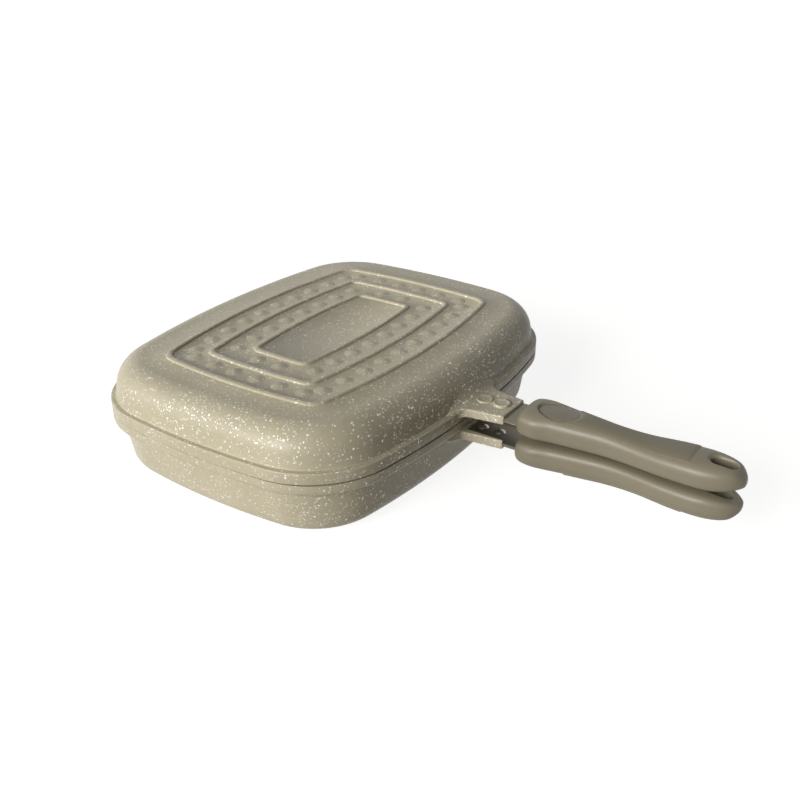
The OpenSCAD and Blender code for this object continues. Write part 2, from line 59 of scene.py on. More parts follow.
# %% Driving sizes
MM = 0.001
hinge = frame["joints"][0]["pos_m"]
HINGE_X, SPLIT = hinge[0] / MM, hinge[2] / MM

RIM_X, RIM_Y = 252.0, 321.6  # rim, from hinge to handle and along the hinge
BULGE_X, BULGE_Y = 21.0, 15.0  # how far its sides bulge out
RIM_CORNER = 65.0
BAND_H = 8.6  # height of each rim band
RIM_LAND = 9.0  # width of the face where the rims meet
RIM_GAP = 1.4  # between the faces of the two rims
WALL_DRAFT = math.radians(8.5)  # how far the walls lean in
WALL_T, BASE_T = 3.0, 4.0
RIB_H = 1.6

HANDLE_DROP = 2.2  # the line between the grips lies this far below the split
GRIP_LINE = SPLIT - HANDLE_DROP

# Of each pan: the depth to its base, the wall's inset, the rounding of the base, the radii over
# and under the rim band's outer edge, and the radius of the flares of its bracket.
LOWER = {"half": "lower", "side": -1, "depth": SPLIT - RIB_H, "inset": 6.8, "round": 14.0,
         "edge": 3.2, "neck": 3.6, "flare": 6.0, "groove": False, "drop": HANDLE_DROP}
UPPER = {"half": "upper", "side": 1, "depth": 34.8, "inset": 3.8, "round": 20.0,
         "edge": 1.1, "neck": 1.0, "flare": 11.0, "groove": True, "drop": -HANDLE_DROP}
PANS = (LOWER, UPPER)
print("split at", round(SPLIT, 2), "mm, hinge at x =", round(HINGE_X, 2), "mm")

# %% [markdown]
# ## The bulged outline
# The rim is no plain rounded rectangle: its four sides are long arcs and its corners are tight
# ones. The same outline, drawn smaller, gives the ribs on the base. Each outline is returned as
# a ring of points that always has the same count, so that rings can be joined to a skin.

# %% Outline helpers
CORNER_STEPS, SIDE_STEPS = 18, 9


def ease(t):
    """A step from 0 to 1 that starts and ends level."""
    return t * t * (3 - 2 * t)


def arc_radius(half, bulge):
    return (half * half + bulge * bulge) / (2 * bulge)


def outline(half_x, half_y, bulge_x, bulge_y, corner):
    """Side radii, side centres, corner centre and corner radius of a bulged rectangle."""
    rx, ry = arc_radius(half_y, bulge_x), arc_radius(half_x, bulge_y)
    cx, cy = half_x - rx, half_y - ry
    dist = math.hypot(cx, cy)
    along = ((rx - corner) ** 2 - (ry - corner) ** 2 + dist * dist) / (2 * dist)
    off = math.sqrt((rx - corner) ** 2 - along * along)
    return (rx, ry, cx, cy, cx - (along * cx + off * cy) / dist,
            (along * cy - off * cx) / dist, corner)


def arc(cx, cy, r, start, end, steps):
    a = start + (end - start) * np.arange(steps) / steps
    return np.stack([cx + r * np.cos(a), cy + r * np.sin(a)], axis=1)


def ring(shape, inset, z):
    """The outline moved inwards by inset, at height z, anticlockwise from the middle of +X."""
    rx, ry, cx, cy, kx, ky, corner = shape
    a, b = math.atan2(ky, kx - cx), math.atan2(ky - cy, kx)
    quarter = np.concatenate([arc(cx, 0, rx - inset, 0, a, SIDE_STEPS),
                              arc(kx, ky, corner - inset, a, b, CORNER_STEPS),
                              arc(0, cy, ry - inset, b, math.pi / 2, SIDE_STEPS)])
    top = np.array([[0, cy + ry - inset]])
    back = quarter[1:][::-1] * [-1, 1]
    half = np.concatenate([quarter, top, back])
    flat = np.concatenate([half, -half])
    return np.column_stack([flat, np.full(len(flat), z)])


RIM = outline(RIM_X / 2, RIM_Y / 2, BULGE_X, BULGE_Y, RIM_CORNER)
print("points in a ring:", len(ring(RIM, 0, 0)))

# %% [markdown]
# ## From rings to a mesh
# One helper joins rings to a closed skin, with a cap on each end ring. Another makes the mesh,
# with smooth shading and crisp edges above a given angle. The lower pan is the same shape turned
# over, so the winding is flipped along with the heights.

# %% Mesh helpers
def new_object(name, data):
    obj = bpy.data.objects.new(name, data)
    bpy.context.collection.objects.link(obj)
    return obj


def new_mesh(name, points, faces, crisp=40):
    mesh = bpy.data.meshes.new(name)
    mesh.from_pydata([tuple(p) for p in np.asarray(points) * MM], [], [tuple(f) for f in faces])
    mesh.validate()
    mesh.shade_smooth()
    mesh.set_sharp_from_angle(angle=math.radians(crisp))
    return new_object(name, mesh)


def band(a, b, size):
    """Faces between two rings that start at points a and b."""
    return [(a + i, a + (i + 1) % size, b + (i + 1) % size, b + i) for i in range(size)]


def skin(rings):
    """Points and faces of a closed solid swept through rings of equally many points."""
    count, size = len(rings), len(rings[0])
    faces = []
    for k in range(count - 1):
        faces += band(k * size, (k + 1) * size, size)
    faces.append(tuple(range(size - 1, -1, -1)))
    faces.append(tuple((count - 1) * size + i for i in range(size)))
    return np.concatenate(rings), faces


def placed(points, faces, side, level):
    """The upper shape at height level, or for side -1 its mirror image below that height."""
    points = np.array(points, dtype=float)
    points[:, 2] = level + side * points[:, 2]
    return points, (faces if side > 0 else [tuple(reversed(f)) for f in faces])


print("faces between two rings:", len(band(0, 1, len(ring(RIM, 0, 0)))))

# %% [markdown]
# Some pieces are cut or melted by modifiers. Each modifier is applied at once, so that a plain
# mesh stays, and cutters are deleted.

# %% Modifier helpers
def apply_modifiers(obj):
    """Makes the evaluated shape the object's own mesh and removes the modifiers."""
    graph = bpy.context.evaluated_depsgraph_get()
    mesh = bpy.data.meshes.new_from_object(obj.evaluated_get(graph))
    obj.modifiers.clear()
    obj.data = mesh
    return obj


def boolean(obj, cutter, operation="DIFFERENCE"):
    mod = obj.modifiers.new("cut", "BOOLEAN")
    mod.object, mod.operation, mod.solver = cutter, operation, "EXACT"
    apply_modifiers(obj)
    bpy.data.objects.remove(cutter)
    return obj


def taken(obj):
    """The object's points in millimetres, and its faces. The object itself is deleted."""
    points = np.empty(len(obj.data.vertices) * 3)
    obj.data.vertices.foreach_get("co", points)
    faces = [tuple(p.vertices) for p in obj.data.polygons]
    bpy.data.objects.remove(obj)
    return points.reshape(-1, 3) / MM, faces


# %% [markdown]
# ## A cast pan
# The real pan is one aluminium casting: a rim band, a wall that leans in by a few degrees, a big
# round at the base, and three low ribs that stand on it. A casting has no sharp edge, so each
# edge of the profile is a small arc. The profile is a list of insets and heights, and sweeping
# it round the outline gives the whole shell with its cavity in one closed skin.

# %% The pan's profile
EDGE_SMALL, CAVITY_EDGE = 0.25, 0.6  # rounding of the edges at the split, outside and inside
LIP_IN, LIP_LOW, LIP_SLOPE = 2.3, 0.12, 0.3  # a lip outside the gasket nearly closes the gap
HOLLOW_LIFT, HOLLOW_IN = 0.1, 0.02  # where the hollow above the rim band starts
HOLLOW_EDGE = 0.2  # and how far it keeps inside the band's rounded edge


def bow(centre, radius, start, end, steps):
    """Points of an arc, both ends included. Its angles are in degrees."""
    a = np.radians(np.linspace(start, end, steps))
    return [(centre[0] + radius * math.cos(t), centre[1] + radius * math.sin(t)) for t in a]


def base_fillet(inset, foot, r, steps):
    """From the leaning wall over to the flat base."""
    a = np.linspace(WALL_DRAFT, math.pi / 2, steps)
    return [(inset + r * (math.cos(WALL_DRAFT) - math.cos(t)),
             foot + r * (math.sin(t) - math.sin(WALL_DRAFT))) for t in a]


def foot_height(depth, r):
    return depth - r * (1 - math.sin(WALL_DRAFT))


def wall_inset(pan, z):
    return pan["inset"] + (z - BAND_H) * math.tan(WALL_DRAFT)


def outer_profile(pan):
    edge, neck = pan["edge"], pan["neck"]
    foot = foot_height(pan["depth"], pan["round"])
    start = BAND_H + HOLLOW_LIFT
    wall = wall_inset(pan, start + neck)
    hollow = bow((wall - HOLLOW_IN - neck, start + neck), neck, -90, 0, 7)[:-1]
    return ([(LIP_IN + LIP_SLOPE, RIM_GAP / 2), (LIP_IN, LIP_LOW)]
            + bow((EDGE_SMALL, LIP_LOW + EDGE_SMALL), EDGE_SMALL, -90, -180, 5)
            + bow((edge, BAND_H - edge), edge, 180, 90, 8)
            + [(max(inset, edge + HOLLOW_EDGE), z) for inset, z in hollow]
            + [(wall, start + neck)]
            + base_fillet(wall_inset(pan, foot), foot, pan["round"], 14))


def cavity_profile(pan):
    low, r = RIM_GAP / 2, pan["round"] - WALL_T
    foot = foot_height(pan["depth"] - BASE_T, r)
    inset = RIM_LAND + (foot - low) * math.tan(WALL_DRAFT)
    return base_fillet(inset, foot, r, 10)[::-1]


print("upper profile points:", len(outer_profile(UPPER)))

# %% [markdown]
# ## The ribs
# On the outer base three nested ribs keep the pan off the hob. Each has the bulged outline again,
# with a bulge that shrinks with the square of its size. A rib's cross section is a low crown
# with steeper sides, given as insets and heights.

# %% Rib rings
RIB_HALF_X, RIB_HALF_Y = (81.9, 55.6, 29.5), (118.0, 93.1, 68.6)
RIB_CORNER = (15.0, 9.0, 7.5)
RIB_W, RIB_NARROW, RIB_BULGE_X, RIB_BULGE_Y = 5.5, 0.7, 12.4, 6.8
RIB_SECTION = ((-0.4, 0.0), (-0.15, 0.12), (0.1, 0.5), (0.42, 0.9), (0.9, 1.22), (1.5, 1.43),
               (2.1, 1.55), (2.75, 1.6), (3.4, 1.57), (4.05, 1.47), (4.6, 1.3), (5.05, 1.0),
               (5.3, 0.56), (5.5, 0.14), (5.75, 0.0))


def rib_outline(i):
    return outline(RIB_HALF_X[i], RIB_HALF_Y[i],
                   RIB_BULGE_X * (RIB_HALF_Y[i] / RIB_HALF_Y[0]) ** 2,
                   RIB_BULGE_Y * (RIB_HALF_X[i] / RIB_HALF_X[0]) ** 2, RIB_CORNER[i])


def rib_ring(i, d, z):
    """The long sides, along Y, have the narrower rib."""
    points = ring(rib_outline(i), d * RIB_NARROW, z)
    points[:, 1] *= (RIB_HALF_Y[i] - d) / (RIB_HALF_Y[i] - d * RIB_NARROW)
    return points


print("points in a rib's section:", len(RIB_SECTION))

# %% [markdown]
# ## The two shells
# The rings run from the cavity over the rim's face and down the outer wall to the ribs. The upper
# rim has a groove for the gasket. Outside it a thin lip nearly closes the gap between the pans.
# On the real pan the closed rims stand slightly apart on the handles' side, so the lip lifts
# there along X.

# %% Both shells
GROOVE = (2.8, 3.8, 2.6)  # inset, width and depth of the gasket's groove
SEAM_RISE, SEAM_FROM, SEAM_TO = 0.5, 25.0, 112.0  # how far the lip lifts, and between which X


def open_seam(points):
    """Lifts the points of the lip, which are the only ones below the rim's face."""
    t = np.clip((points[:, 0] - SEAM_FROM) / (SEAM_TO - SEAM_FROM), 0, 1)
    points[:, 2] += SEAM_RISE * ease(t) * (points[:, 2] < RIM_GAP / 2)
    return points


def pan_rings(pan):
    low, edge = RIM_GAP / 2, CAVITY_EDGE
    inner = cavity_profile(pan) + bow((RIM_LAND - edge, low + edge), edge, 0, -90, 4)
    if pan["groove"]:
        out, width, deep = GROOVE
        inner += [(out + width, low), (out + width, low + deep), (out, low + deep), (out, low)]
    rings = [ring(RIM, d, z) for d, z in inner]
    rings += [open_seam(ring(RIM, d, z)) for d, z in outer_profile(pan)]
    return rings + [rib_ring(i, d, pan["depth"] + h) for i in range(3) for d, h in RIB_SECTION]


def placed_mesh(name, pan, points, faces):
    return new_mesh(pan["half"] + name, *placed(points, faces, pan["side"], SPLIT))


shells = [placed_mesh("_casting", pan, *skin(pan_rings(pan))) for pan in PANS]
for obj in shells:
    print(obj.name, len(obj.data.polygons), "faces")

# %% [markdown]
# ## The bracket
# A tongue reaches out from the rim and holds the steel bar of the handle. On the casting it
# flows out of the wall: its root flares, and a hollow fillet runs from its top up the wall and
# fades to both sides. A boolean would leave creases there, so the tongue, the fillet and a slice
# of the wall are melted into one local skin by a voxel remesh and smoothed. Where that skin lies
# on the pan it is let in a little, so only the tongue and its blends come out of the surface.

# %% Bracket sizes and plan
BRACKET_END = RIM_X / 2 + 30.0
BRACKET_TIP, BRACKET_ROOT = 15.4, 18.8
BRACKET_LOW, BRACKET_T = 6.2, 6.9  # from the line between the grips
ROOT_IN, NECK_OUT = 2.5, 3.5  # the root lies in the wall, and the flares start outside
BLEND_R, BLEND_HALF = 13.0, 36.0  # the fillet's radius at the middle, and its half width
BLEND_STEP, BLEND_ENDS = 25.0, 33  # its foot steps down from here on; sections in all
TANG_W, TANG_LOW, TANG_T = 28.0, 8.8, 2.2


def prism(name, flat, low, high):
    """A closed solid over a flat outline, anticlockwise from above."""
    return new_mesh(name, *skin([[(x, y, z) for x, y in flat] for z in (low, high)]))


def block(name, start, end, half, low, high):
    """A box from start to end in X and from low to high, half of its width to each side."""
    return prism(name, [(start, -half), (end, -half), (end, half), (start, half)], low, high)


def bracket_plan(root_x, r):
    """The tongue's outline, with flares of radius r where it meets the rim."""
    neck = root_x + r + NECK_OUT
    flare = bow((neck, BRACKET_ROOT + r), r, 270, 188, 10)
    far = [(BRACKET_END, BRACKET_TIP)] + flare + [(root_x, flare[-1][1] + 1)]
    return [(x, -y) for x, y in reversed(far)] + far


def wall_blend(pan, low, top, r):
    """The fillet's section in X and Z: an arc that touches the level top and the leaning wall."""
    wall_x = RIM_X / 2 - wall_inset(pan, top)
    centre = wall_x + r * (1 - math.sin(WALL_DRAFT)) / math.cos(WALL_DRAFT)
    face = bow((centre, top + r), r, 180 + math.degrees(WALL_DRAFT), 270, 12)
    root = face[0][0] - 2
    return [(root, low), (centre, low)] + face[::-1] + [(root, face[0][1])]


print("bracket reaches", BRACKET_END, "mm from the middle")

# %% [markdown]
# The local skin is built in the pan's own frame, with the split at zero and the base upwards,
# and is placed like the shell afterwards. The fillet is swept along Y through many sections. To
# both sides its radius shrinks and its foot steps down to the rim band, so it fades out.

# %% The bracket's parts
WALL_SLICE = (104, 140, 50, -1, 32)  # from and to in X, half width, low and high


def blend_rings(pan, top):
    """Sections of the fillet, from the rim band up to the tongue's top and down again."""
    sunk = BAND_H - 0.5
    rings = []
    for y in np.linspace(-BLEND_HALF, BLEND_HALF, BLEND_ENDS):
        radius = BLEND_R * max(0.03, 1 - (y / BLEND_HALF) ** 2) ** 1.5
        t = min(1.0, (BLEND_HALF - abs(y)) / (BLEND_HALF - BLEND_STEP))
        level = sunk + (top - sunk) * ease(t)
        foot = level - 2 if abs(y) < BRACKET_ROOT else BAND_H - 1
        back = y * y / (2 * RIM[0])
        section = wall_blend(pan, foot, level, radius)
        rings.append([(x - back, y, z) for x, z in reversed(section)])
    return rings


def bracket_parts(pan):
    """Tongue, fillet and a slice of the wall."""
    low, top = BRACKET_LOW + pan["drop"], BRACKET_LOW + BRACKET_T + pan["drop"]
    root_x = RIM_X / 2 - pan["inset"] - ROOT_IN
    plate = prism("plate", bracket_plan(root_x, pan["flare"]), low, top)
    blend = new_mesh("blend", *skin(blend_rings(pan, top)))
    wall = new_mesh("wall", *skin(pan_rings(pan)))
    boolean(wall, block("slice", *WALL_SLICE), "INTERSECT")
    return plate, blend, wall


print("sections of the fillet:", BLEND_ENDS)

# %% [markdown]
# A voxel remesh melts closed parts into one skin, and smoothing rounds its creases. A bracket
# then gets its seat for the steel bar, which is cut last, so that it stays crisp.

# %% Melt, let in and cut
VOXEL, ROUNDS = 0.65, 8  # size of the remesh's cells, rounds of smoothing
HIDE, REACH = 0.35, 0.3  # how deep the skin is let in, and how far off it counts
SEAT_IN, SEAT_PAST, SEAT_BELOW = 0.2, 5.0, 3.0  # the cutter reaches past the tongue


def melted(parts, voxel, rounds):
    """One skin over closed parts, with smoothed creases."""
    points, faces, start = [], [], 0
    for part in parts:
        p, f = taken(part)
        points.append(p)
        faces += [tuple(i + start for i in face) for face in f]
        start += len(p)
    obj = new_mesh("melted", np.concatenate(points), faces)
    remesh = obj.modifiers.new("melt", "REMESH")
    remesh.mode, remesh.voxel_size = "VOXEL", voxel * MM
    smooth = obj.modifiers.new("smooth", "SMOOTH")
    smooth.factor, smooth.iterations = 0.5, rounds
    return apply_modifiers(obj)


def let_in(points, target):
    """Moves the points that lie on the target's surface a little into it."""
    tree_points, tree_faces = taken(target)
    tree = BVHTree.FromPolygons([Vector(p) for p in tree_points], tree_faces)
    for i, p in enumerate(points):
        spot, normal, _, _ = tree.find_nearest(Vector(p))
        gap = (Vector(p) - spot).dot(normal)
        if abs(gap) < REACH:
            points[i] -= np.array(normal) * (HIDE * (1 - max(gap, 0) / REACH))
    return points


def bracket(pan):
    points, faces = taken(melted(bracket_parts(pan), VOXEL, ROUNDS))
    points = let_in(points, new_mesh("whole", *skin(pan_rings(pan))))
    cut = new_mesh("cut", points, faces)
    seat = block("seat", RIM_X / 2 + SEAT_IN, BRACKET_END + SEAT_PAST, TANG_W / 2,
                 BRACKET_LOW + pan["drop"] - SEAT_BELOW, TANG_LOW + TANG_T + pan["drop"])
    boolean(cut, seat)
    return placed_mesh("_bracket", pan, *taken(cut))


brackets = [bracket(pan) for pan in PANS]
for obj in brackets:
    print(obj.name, len(obj.data.polygons), "faces")

# %% [markdown]
# ## Turned shapes
# Bosses and other round pieces are turned on a lathe: a profile of radius and height goes round
# an axis. The poles close with a fan of triangles.

# %% Lathe helper
def turned(profile, steps=40):
    """Points and faces of a solid of revolution about Z, from the lower pole to the upper one."""
    a = 2 * math.pi * np.arange(steps) / steps
    points = [(0, 0, profile[0][1])]
    for r, z in profile[1:-1]:
        points += [(r * math.cos(t), r * math.sin(t), z) for t in a]
    points.append((0, 0, profile[-1][1]))
    last = len(points) - 1
    faces = [(0, 1 + (i + 1) % steps, 1 + i) for i in range(steps)]
    for k in range(len(profile) - 3):
        faces += band(1 + k * steps, 1 + (k + 1) * steps, steps)
    s = 1 + (len(profile) - 3) * steps
    faces += [(s + i, s + (i + 1) % steps, last) for i in range(steps)]
    return np.array(points), faces


print("faces of a plain disc:", len(turned([(0, 0), (1, 0), (1, 1), (0, 1)])[1]))

# %% [markdown]
# Two screws hold the bar in each bracket. A low round boss with a shallow dish stands over each.

# %% Screw bosses
SCREW_X = (RIM_X / 2 + 6.4, RIM_X / 2 + 20.2)
BOSS_D, BOSS_H = 12.6, (1.2, 1.8)  # the outer boss stands higher


def boss(pan, i):
    """From its hidden foot up the side, over the rounded rim and into the dish."""
    r, h = BOSS_D / 2, BOSS_H[i]
    profile = [(0, -1.5), (r + 0.3, -1.5), (r + 0.3, -0.1), (r, 0.15), (r - 0.1, h - 0.55),
               (r - 0.35, h - 0.18), (r - 0.8, h), (r - 1.5, h - 0.02), (r - 2.1, h - 0.3),
               (r - 2.6, h - 0.4), (1.0, h - 0.32), (0, h - 0.32)]
    points, faces = turned(profile)
    place = [SCREW_X[i], 0, BRACKET_LOW + BRACKET_T + pan["drop"]]
    return placed_mesh(f"_boss_{i + 1}", pan, points + place, faces)


bosses = [[boss(pan, i) for i in range(len(SCREW_X))] for pan in PANS]
print("bosses on each pan:", len(bosses[0]))

# %% [markdown]
# ## Hinge knuckles
# Behind the pan the castings end in knuckles on one steel pin: one on the upper pan, two on the
# lower. Each is an outline in X and Z that runs along Y: a round eye with a short arm to the
# rim. A second round outline cuts the bore for the pin.

# %% Knuckles
PIN_D, KNUCKLE_D, KNUCKLE_MID, KNUCKLE_END, WASHER_T = 5.0, 11.0, 38.0, 16.0, 0.8
PLAY, ARM_IN = 0.2, 2.4  # beside each washer; how far the arm runs into the rim
HINGE_HALF = KNUCKLE_MID / 2 + PLAY + WASHER_T + KNUCKLE_END


def along_y(name, flat, start, end):
    return new_mesh(name, *skin([[(x, y, z) for x, z in reversed(flat)] for y in (start, end)]))


def knuckle(name, pan, start, end):
    r, arm = KNUCKLE_D / 2, RIM_GAP / 2
    reach = -HINGE_X - RIM_X / 2 + ARM_IN
    arm_points = [(reach, arm), (reach, r - 1.0), (r + 2.0, r - 0.6), (2.0, r)]
    flat = bow((0, 0), r, 90, 367.3, 36) + arm_points
    bore = bow((0, 0), PIN_D / 2, 0, 360, 33)[:-1]
    solid = along_y("eye", flat, start, end)
    boolean(solid, along_y("bore", bore, start - 1, end + 1))
    points, faces = taken(solid)
    obj = placed_mesh(name, pan, points + [HINGE_X, 0, 0], faces)
    bevel = obj.modifiers.new("edges", "BEVEL")
    bevel.width, bevel.segments, bevel.limit_method = 0.5 * MM, 2, "ANGLE"
    bevel.angle_limit = math.radians(50)
    return apply_modifiers(obj)


knuckles = [[knuckle("_knuckle_1", LOWER, -HINGE_HALF, KNUCKLE_END - HINGE_HALF),
             knuckle("_knuckle_2", LOWER, HINGE_HALF - KNUCKLE_END, HINGE_HALF)],
            [knuckle("_knuckle", UPPER, -KNUCKLE_MID / 2, KNUCKLE_MID / 2)]]
print("knuckles on each pan:", [len(group) for group in knuckles])

# %% [markdown]
# ## Short names for nodes
# Both the bumps and the finishes are trees of nodes. A node is asked for with its settings and
# with what feeds its sockets: another node's socket, or a plain value.

# %% Node helpers
def group_tree(name, inputs, outputs, tree_type="ShaderNodeTree"):
    tree = bpy.data.node_groups.new(name, tree_type)
    kinds = {"f": "NodeSocketFloat", "v": "NodeSocketVector", "g": "NodeSocketGeometry"}
    for label, kind, value in inputs:
        socket = tree.interface.new_socket(label, in_out="INPUT", socket_type=kinds[kind])
        if value is not None:
            socket.default_value = value
    for label, kind in outputs:
        tree.interface.new_socket(label, in_out="OUTPUT", socket_type=kinds[kind])
    return Wires(tree), tree.nodes.new("NodeGroupInput").outputs, tree.nodes.new("NodeGroupOutput")


class Wires:
    """Makes and joins the nodes of one tree."""

    def __init__(self, tree):
        self.tree = tree

    def feed(self, made, sources):
        for socket, source in sources.items():
            if hasattr(source, "links"):
                self.tree.links.new(source, made.inputs[socket])
            else:
                made.inputs[socket].default_value = source
        return made

    def node(self, kind, sources=None, **values):
        made = self.tree.nodes.new(kind)
        for key, value in values.items():
            setattr(made, key, value)
        return self.feed(made, sources or {})

    def math(self, operation, a, b=0.0, c=0.0, **values):
        return self.node("ShaderNodeMath", {0: a, 1: b, 2: c}, operation=operation,
                         **values).outputs[0]

    def vector(self, operation, sources):
        return self.node("ShaderNodeVectorMath", sources, operation=operation).outputs[0]

    def mix(self, factor, a, b):
        return self.node("ShaderNodeMix", {0: factor, 6: a, 7: b}, data_type="RGBA").outputs[2]

    def noise(self, where, scale, detail=2.0):
        return self.node("ShaderNodeTexNoise", {"Vector": where, "Scale": scale,
                                                "Detail": detail}).outputs[0]


print("node helpers:", [name for name in vars(Wires) if not name.startswith("_")])

# %% [markdown]
# ## The two rows of bumps
# Between the ribs stand two rows of low round bumps. They repeat along a rule, so Geometry Nodes
# place them: each start point of a small mesh gets one ball, half sunk in the base. Its upper
# half is reshaped to a soft dome that runs out level. The tree has its sizes as named inputs,
# and ends by making the copies real.

# %% Node tree for the bumps
LOWER_SHARE = 0.4  # the hidden lower half is flatter


def soft_dome(w, ball):
    """The upper half takes the height of a cosine over its distance from the middle."""
    place = w.node("GeometryNodeInputPosition").outputs[0]
    x, y, z = w.node("ShaderNodeSeparateXYZ", {0: place}).outputs
    out = w.math("SQRT", w.math("MULTIPLY_ADD", x, x, w.math("MULTIPLY", y, y)))
    wave = w.math("COSINE", w.math("MULTIPLY", out, math.pi))
    above = w.math("MULTIPLY_ADD", wave, 0.5, 0.5)
    upper = w.math("GREATER_THAN", z, 0.0)
    lower = w.math("MULTIPLY", w.math("MINIMUM", z, 0.0), LOWER_SHARE)
    height = w.math("MULTIPLY_ADD", above, upper, lower)
    spot = w.node("ShaderNodeCombineXYZ", {0: x, 1: y, 2: height})
    return w.node("GeometryNodeSetPosition", {"Geometry": ball, "Position": spot.outputs[0]})


def bump_tree(material):
    w, start, end = group_tree(
        "base_bumps", [("Geometry", "g", None), ("Bump width", "f", BUMP_D * MM),
                       ("Bump height", "f", BUMP_H * MM)], [("Geometry", "g")], "GeometryNodeTree")
    ball = w.node("GeometryNodeMeshUVSphere", {"Segments": 28, "Rings": 14, "Radius": 1.0})
    dome = soft_dome(w, ball.outputs["Mesh"])
    half = w.math("MULTIPLY", start["Bump width"], 0.5)
    size = w.node("ShaderNodeCombineXYZ", {"X": half, "Y": half, "Z": start["Bump height"]})
    spread = w.node("GeometryNodeInstanceOnPoints",
                    {"Points": start["Geometry"], "Instance": dome.outputs[0],
                     "Scale": size.outputs[0]})
    real = w.node("GeometryNodeRealizeInstances", {"Geometry": spread.outputs[0]})
    smooth = w.node("GeometryNodeSetShadeSmooth", {"Geometry": real.outputs[0]})
    paint = w.node("GeometryNodeSetMaterial", {"Geometry": smooth.outputs[0],
                                               "Material": material})
    w.feed(end, {"Geometry": paint.outputs[0]})
    return w.tree


# %% [markdown]
# The bumps sit midway between two ribs, at an even pitch along their straight stretches. The
# material that the tree sets is made further on, so the tree is built when the pans are dressed.

# %% Places of the bumps
BUMP_D, BUMP_H, BUMP_SUNK, BUMP_PITCH = 15.0, 1.15, 0.05, 20.0


def bump_spots(depth):
    """Middles of the bumps in the two bands between the ribs."""
    spots = []
    for i in (0, 1):
        rx, ry, cx, cy = rib_outline(i)[:4]
        mid = (RIB_HALF_X[i] - RIB_HALF_X[i + 1] + RIB_W) / 2
        side = math.floor((RIB_HALF_Y[i] - mid) / BUMP_PITCH + 0.25)
        end = math.floor((RIB_HALF_X[i] - mid * 2) / BUMP_PITCH + 0.5)
        for k in range(-side, side):
            y = (k + 0.5) * BUMP_PITCH
            x = cx + math.sqrt((rx - mid) ** 2 - y * y)
            spots += [(s * x, y, depth) for s in (-1, 1)]
        for k in range(-end, end):
            x = (k + 0.5) * BUMP_PITCH
            y = cy + math.sqrt((ry - mid) ** 2 - x * x)
            spots += [(x, s * y, depth) for s in (-1, 1)]
    return spots


print("bumps on each base:", len(bump_spots(0)))

# %% [markdown]
# ## Shared effects
# Three effects come back in several finishes, so each is a node group with named inputs: fine
# grain for moulded and cast surfaces, pale speckles for the stone-effect coating, and brushed
# lines for steel. They read Object coordinates, in which a millimetre is 0.001.

# %% The groups fine_grain, speckles and brushed_lines
COARSE_SCALE = 0.14  # of the coarse grain, as a share of the fine grain's
BEND_REACH = 0.0012  # how far a spot's edge is bent, in metres at most
SIZE_LEAST, SIZE_SPREAD = 0.45, 0.8  # sizes of the spots, as shares of their radius
EDGE_STEEP = 45.0  # the higher, the sharper a spot's edge
LINE_STRETCH, BROAD_SCALE = 0.02, 120.0


def fine_grain_group():
    w, start, end = group_tree(
        "fine_grain", [("Vector", "v", None), ("Scale", "f", 900.0), ("Coarse share", "f", 0.35)],
        [("Height", "f"), ("Value", "f")])
    fine = w.noise(start["Vector"], start["Scale"], 3.0)
    coarse = w.noise(start["Vector"], w.math("MULTIPLY", start["Scale"], COARSE_SCALE))
    weighted = w.math("MULTIPLY", coarse, start["Coarse share"])
    w.feed(end, {"Height": w.math("ADD", fine, weighted), "Value": coarse})
    return w.tree


def speckles_group():
    """Round spots in the cells of a Voronoi pattern, with bent edges and uneven sizes."""
    w, start, end = group_tree(
        "speckles", [("Vector", "v", None), ("Cells per metre", "f", 200.0),
                     ("Spot radius", "f", 0.12), ("Share kept", "f", 0.6)], [("Mask", "f")])
    bend = w.node("ShaderNodeTexNoise", {"Vector": start["Vector"], "Scale": 700.0, "Detail": 1.0})
    shift = w.vector("SUBTRACT", {0: bend.outputs["Color"], 1: (0.5, 0.5, 0.5)})
    small = w.vector("SCALE", {0: shift, "Scale": BEND_REACH})
    bent = w.vector("ADD", {0: start["Vector"], 1: small})
    cells = w.node("ShaderNodeTexVoronoi", {"Vector": bent,
                                            "Scale": start["Cells per metre"]})
    chance = w.node("ShaderNodeSeparateColor", {"Color": cells.outputs["Color"]})
    kept = w.math("LESS_THAN", chance.outputs["Red"], start["Share kept"])
    size = w.math("MULTIPLY_ADD", chance.outputs["Green"], SIZE_SPREAD, SIZE_LEAST)
    radius = w.math("MULTIPLY", size, start["Spot radius"])
    inside = w.math("SUBTRACT", radius, cells.outputs["Distance"])
    edge = w.math("MULTIPLY", inside, EDGE_STEEP, use_clamp=True)
    w.feed(end, {"Mask": w.math("MULTIPLY", edge, kept)})
    return w.tree


def brushed_lines_group():
    """Noise that is stretched along X, so that it turns to lines."""
    w, start, end = group_tree(
        "brushed_lines", [("Vector", "v", None), ("Lines per metre", "f", 2500.0)],
        [("Height", "f"), ("Value", "f")])
    stretched = w.node("ShaderNodeMapping", {"Vector": start["Vector"],
                                             "Scale": (LINE_STRETCH, 1.0, 1.0)}).outputs[0]
    lines = w.noise(stretched, start["Lines per metre"])
    broad = w.noise(stretched, BROAD_SCALE)
    value = w.math("ADD", w.math("MULTIPLY", lines, 0.6), w.math("MULTIPLY", broad, 0.4))
    w.feed(end, {"Height": lines, "Value": value})
    return w.tree


fine_grain, speckles, brushed_lines = fine_grain_group(), speckles_group(), brushed_lines_group()
print("shared groups:", fine_grain.name, speckles.name, brushed_lines.name)

# %% [markdown]
# ## The coating
# The pan's coating is a champagne stone effect: a warm grey-beige ground, slightly clouded, with
# pale flecks of several sizes that crowd together here and there. It is satin, and a little
# uneven like any sprayed coat. Three calls of the speckles group give large, middle and tiny
# flecks, and a slow noise decides where they crowd.

